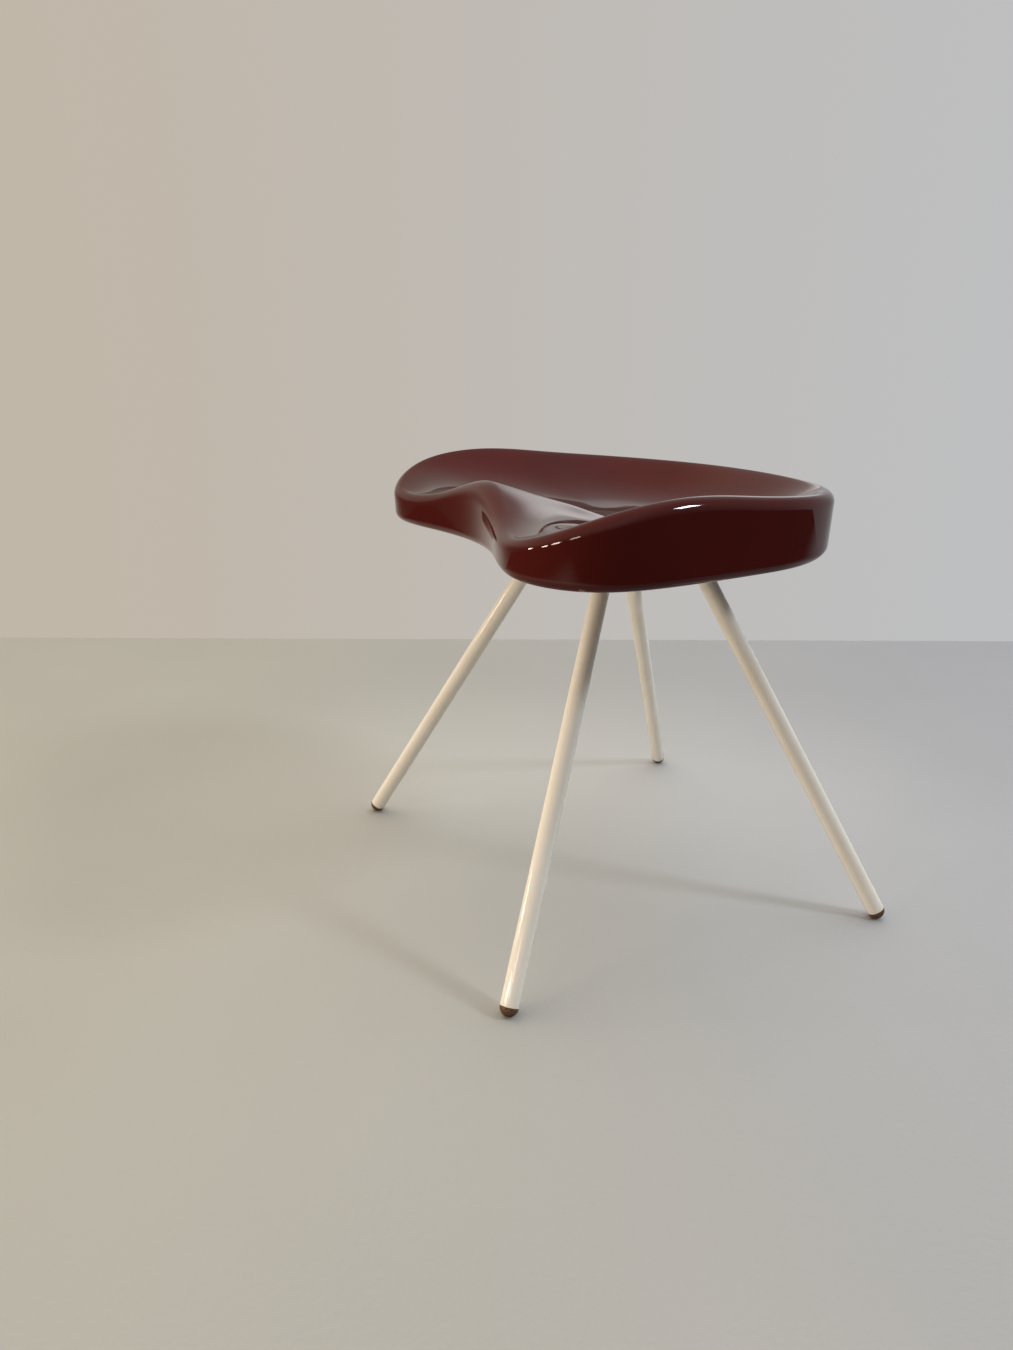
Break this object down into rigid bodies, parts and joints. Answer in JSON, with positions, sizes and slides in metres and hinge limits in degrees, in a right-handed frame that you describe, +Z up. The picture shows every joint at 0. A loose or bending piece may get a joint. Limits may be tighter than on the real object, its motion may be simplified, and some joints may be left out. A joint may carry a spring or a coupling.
{
  "type": "stool",
  "caption": "Low four-legged stool with a moulded saddle seat, a scalloped front with a pommel, splayed round tube legs and ball-shaped wooden feet.",
  "frame": {"origin": "on the floor, at the centre of the four feet", "axes": "+Z up; -Y towards the scalloped front of the seat with its pommel; +X to the sitter's left"},
  "size_m": [0.4798, 0.4406, 0.4562],
  "materials": {
    "seat_gelcoat": "high-gloss maroon",
    "block_plywood": "bare plywood",
    "insert_brass": "plain brass",
    "cream_enamel": "gloss cream paint",
    "zinc_steel": "zinc plated",
    "foot_wood": "oiled dark wood"
  },
  "bodies": {
    "root": {"seat_shell": "seat_gelcoat", "backing_block": "block_plywood", "threaded_inserts": "insert_brass", "leg_plate": "cream_enamel", "plate_washers": "zinc_steel", "plate_bolts": "zinc_steel", "leg_front_left": "cream_enamel", "leg_front_right": "cream_enamel", "leg_back_left": "cream_enamel", "leg_back_right": "cream_enamel", "foot_front_left": "foot_wood", "foot_front_right": "foot_wood", "foot_back_left": "foot_wood", "foot_back_right": "foot_wood"}
  },
  "joints": []
}
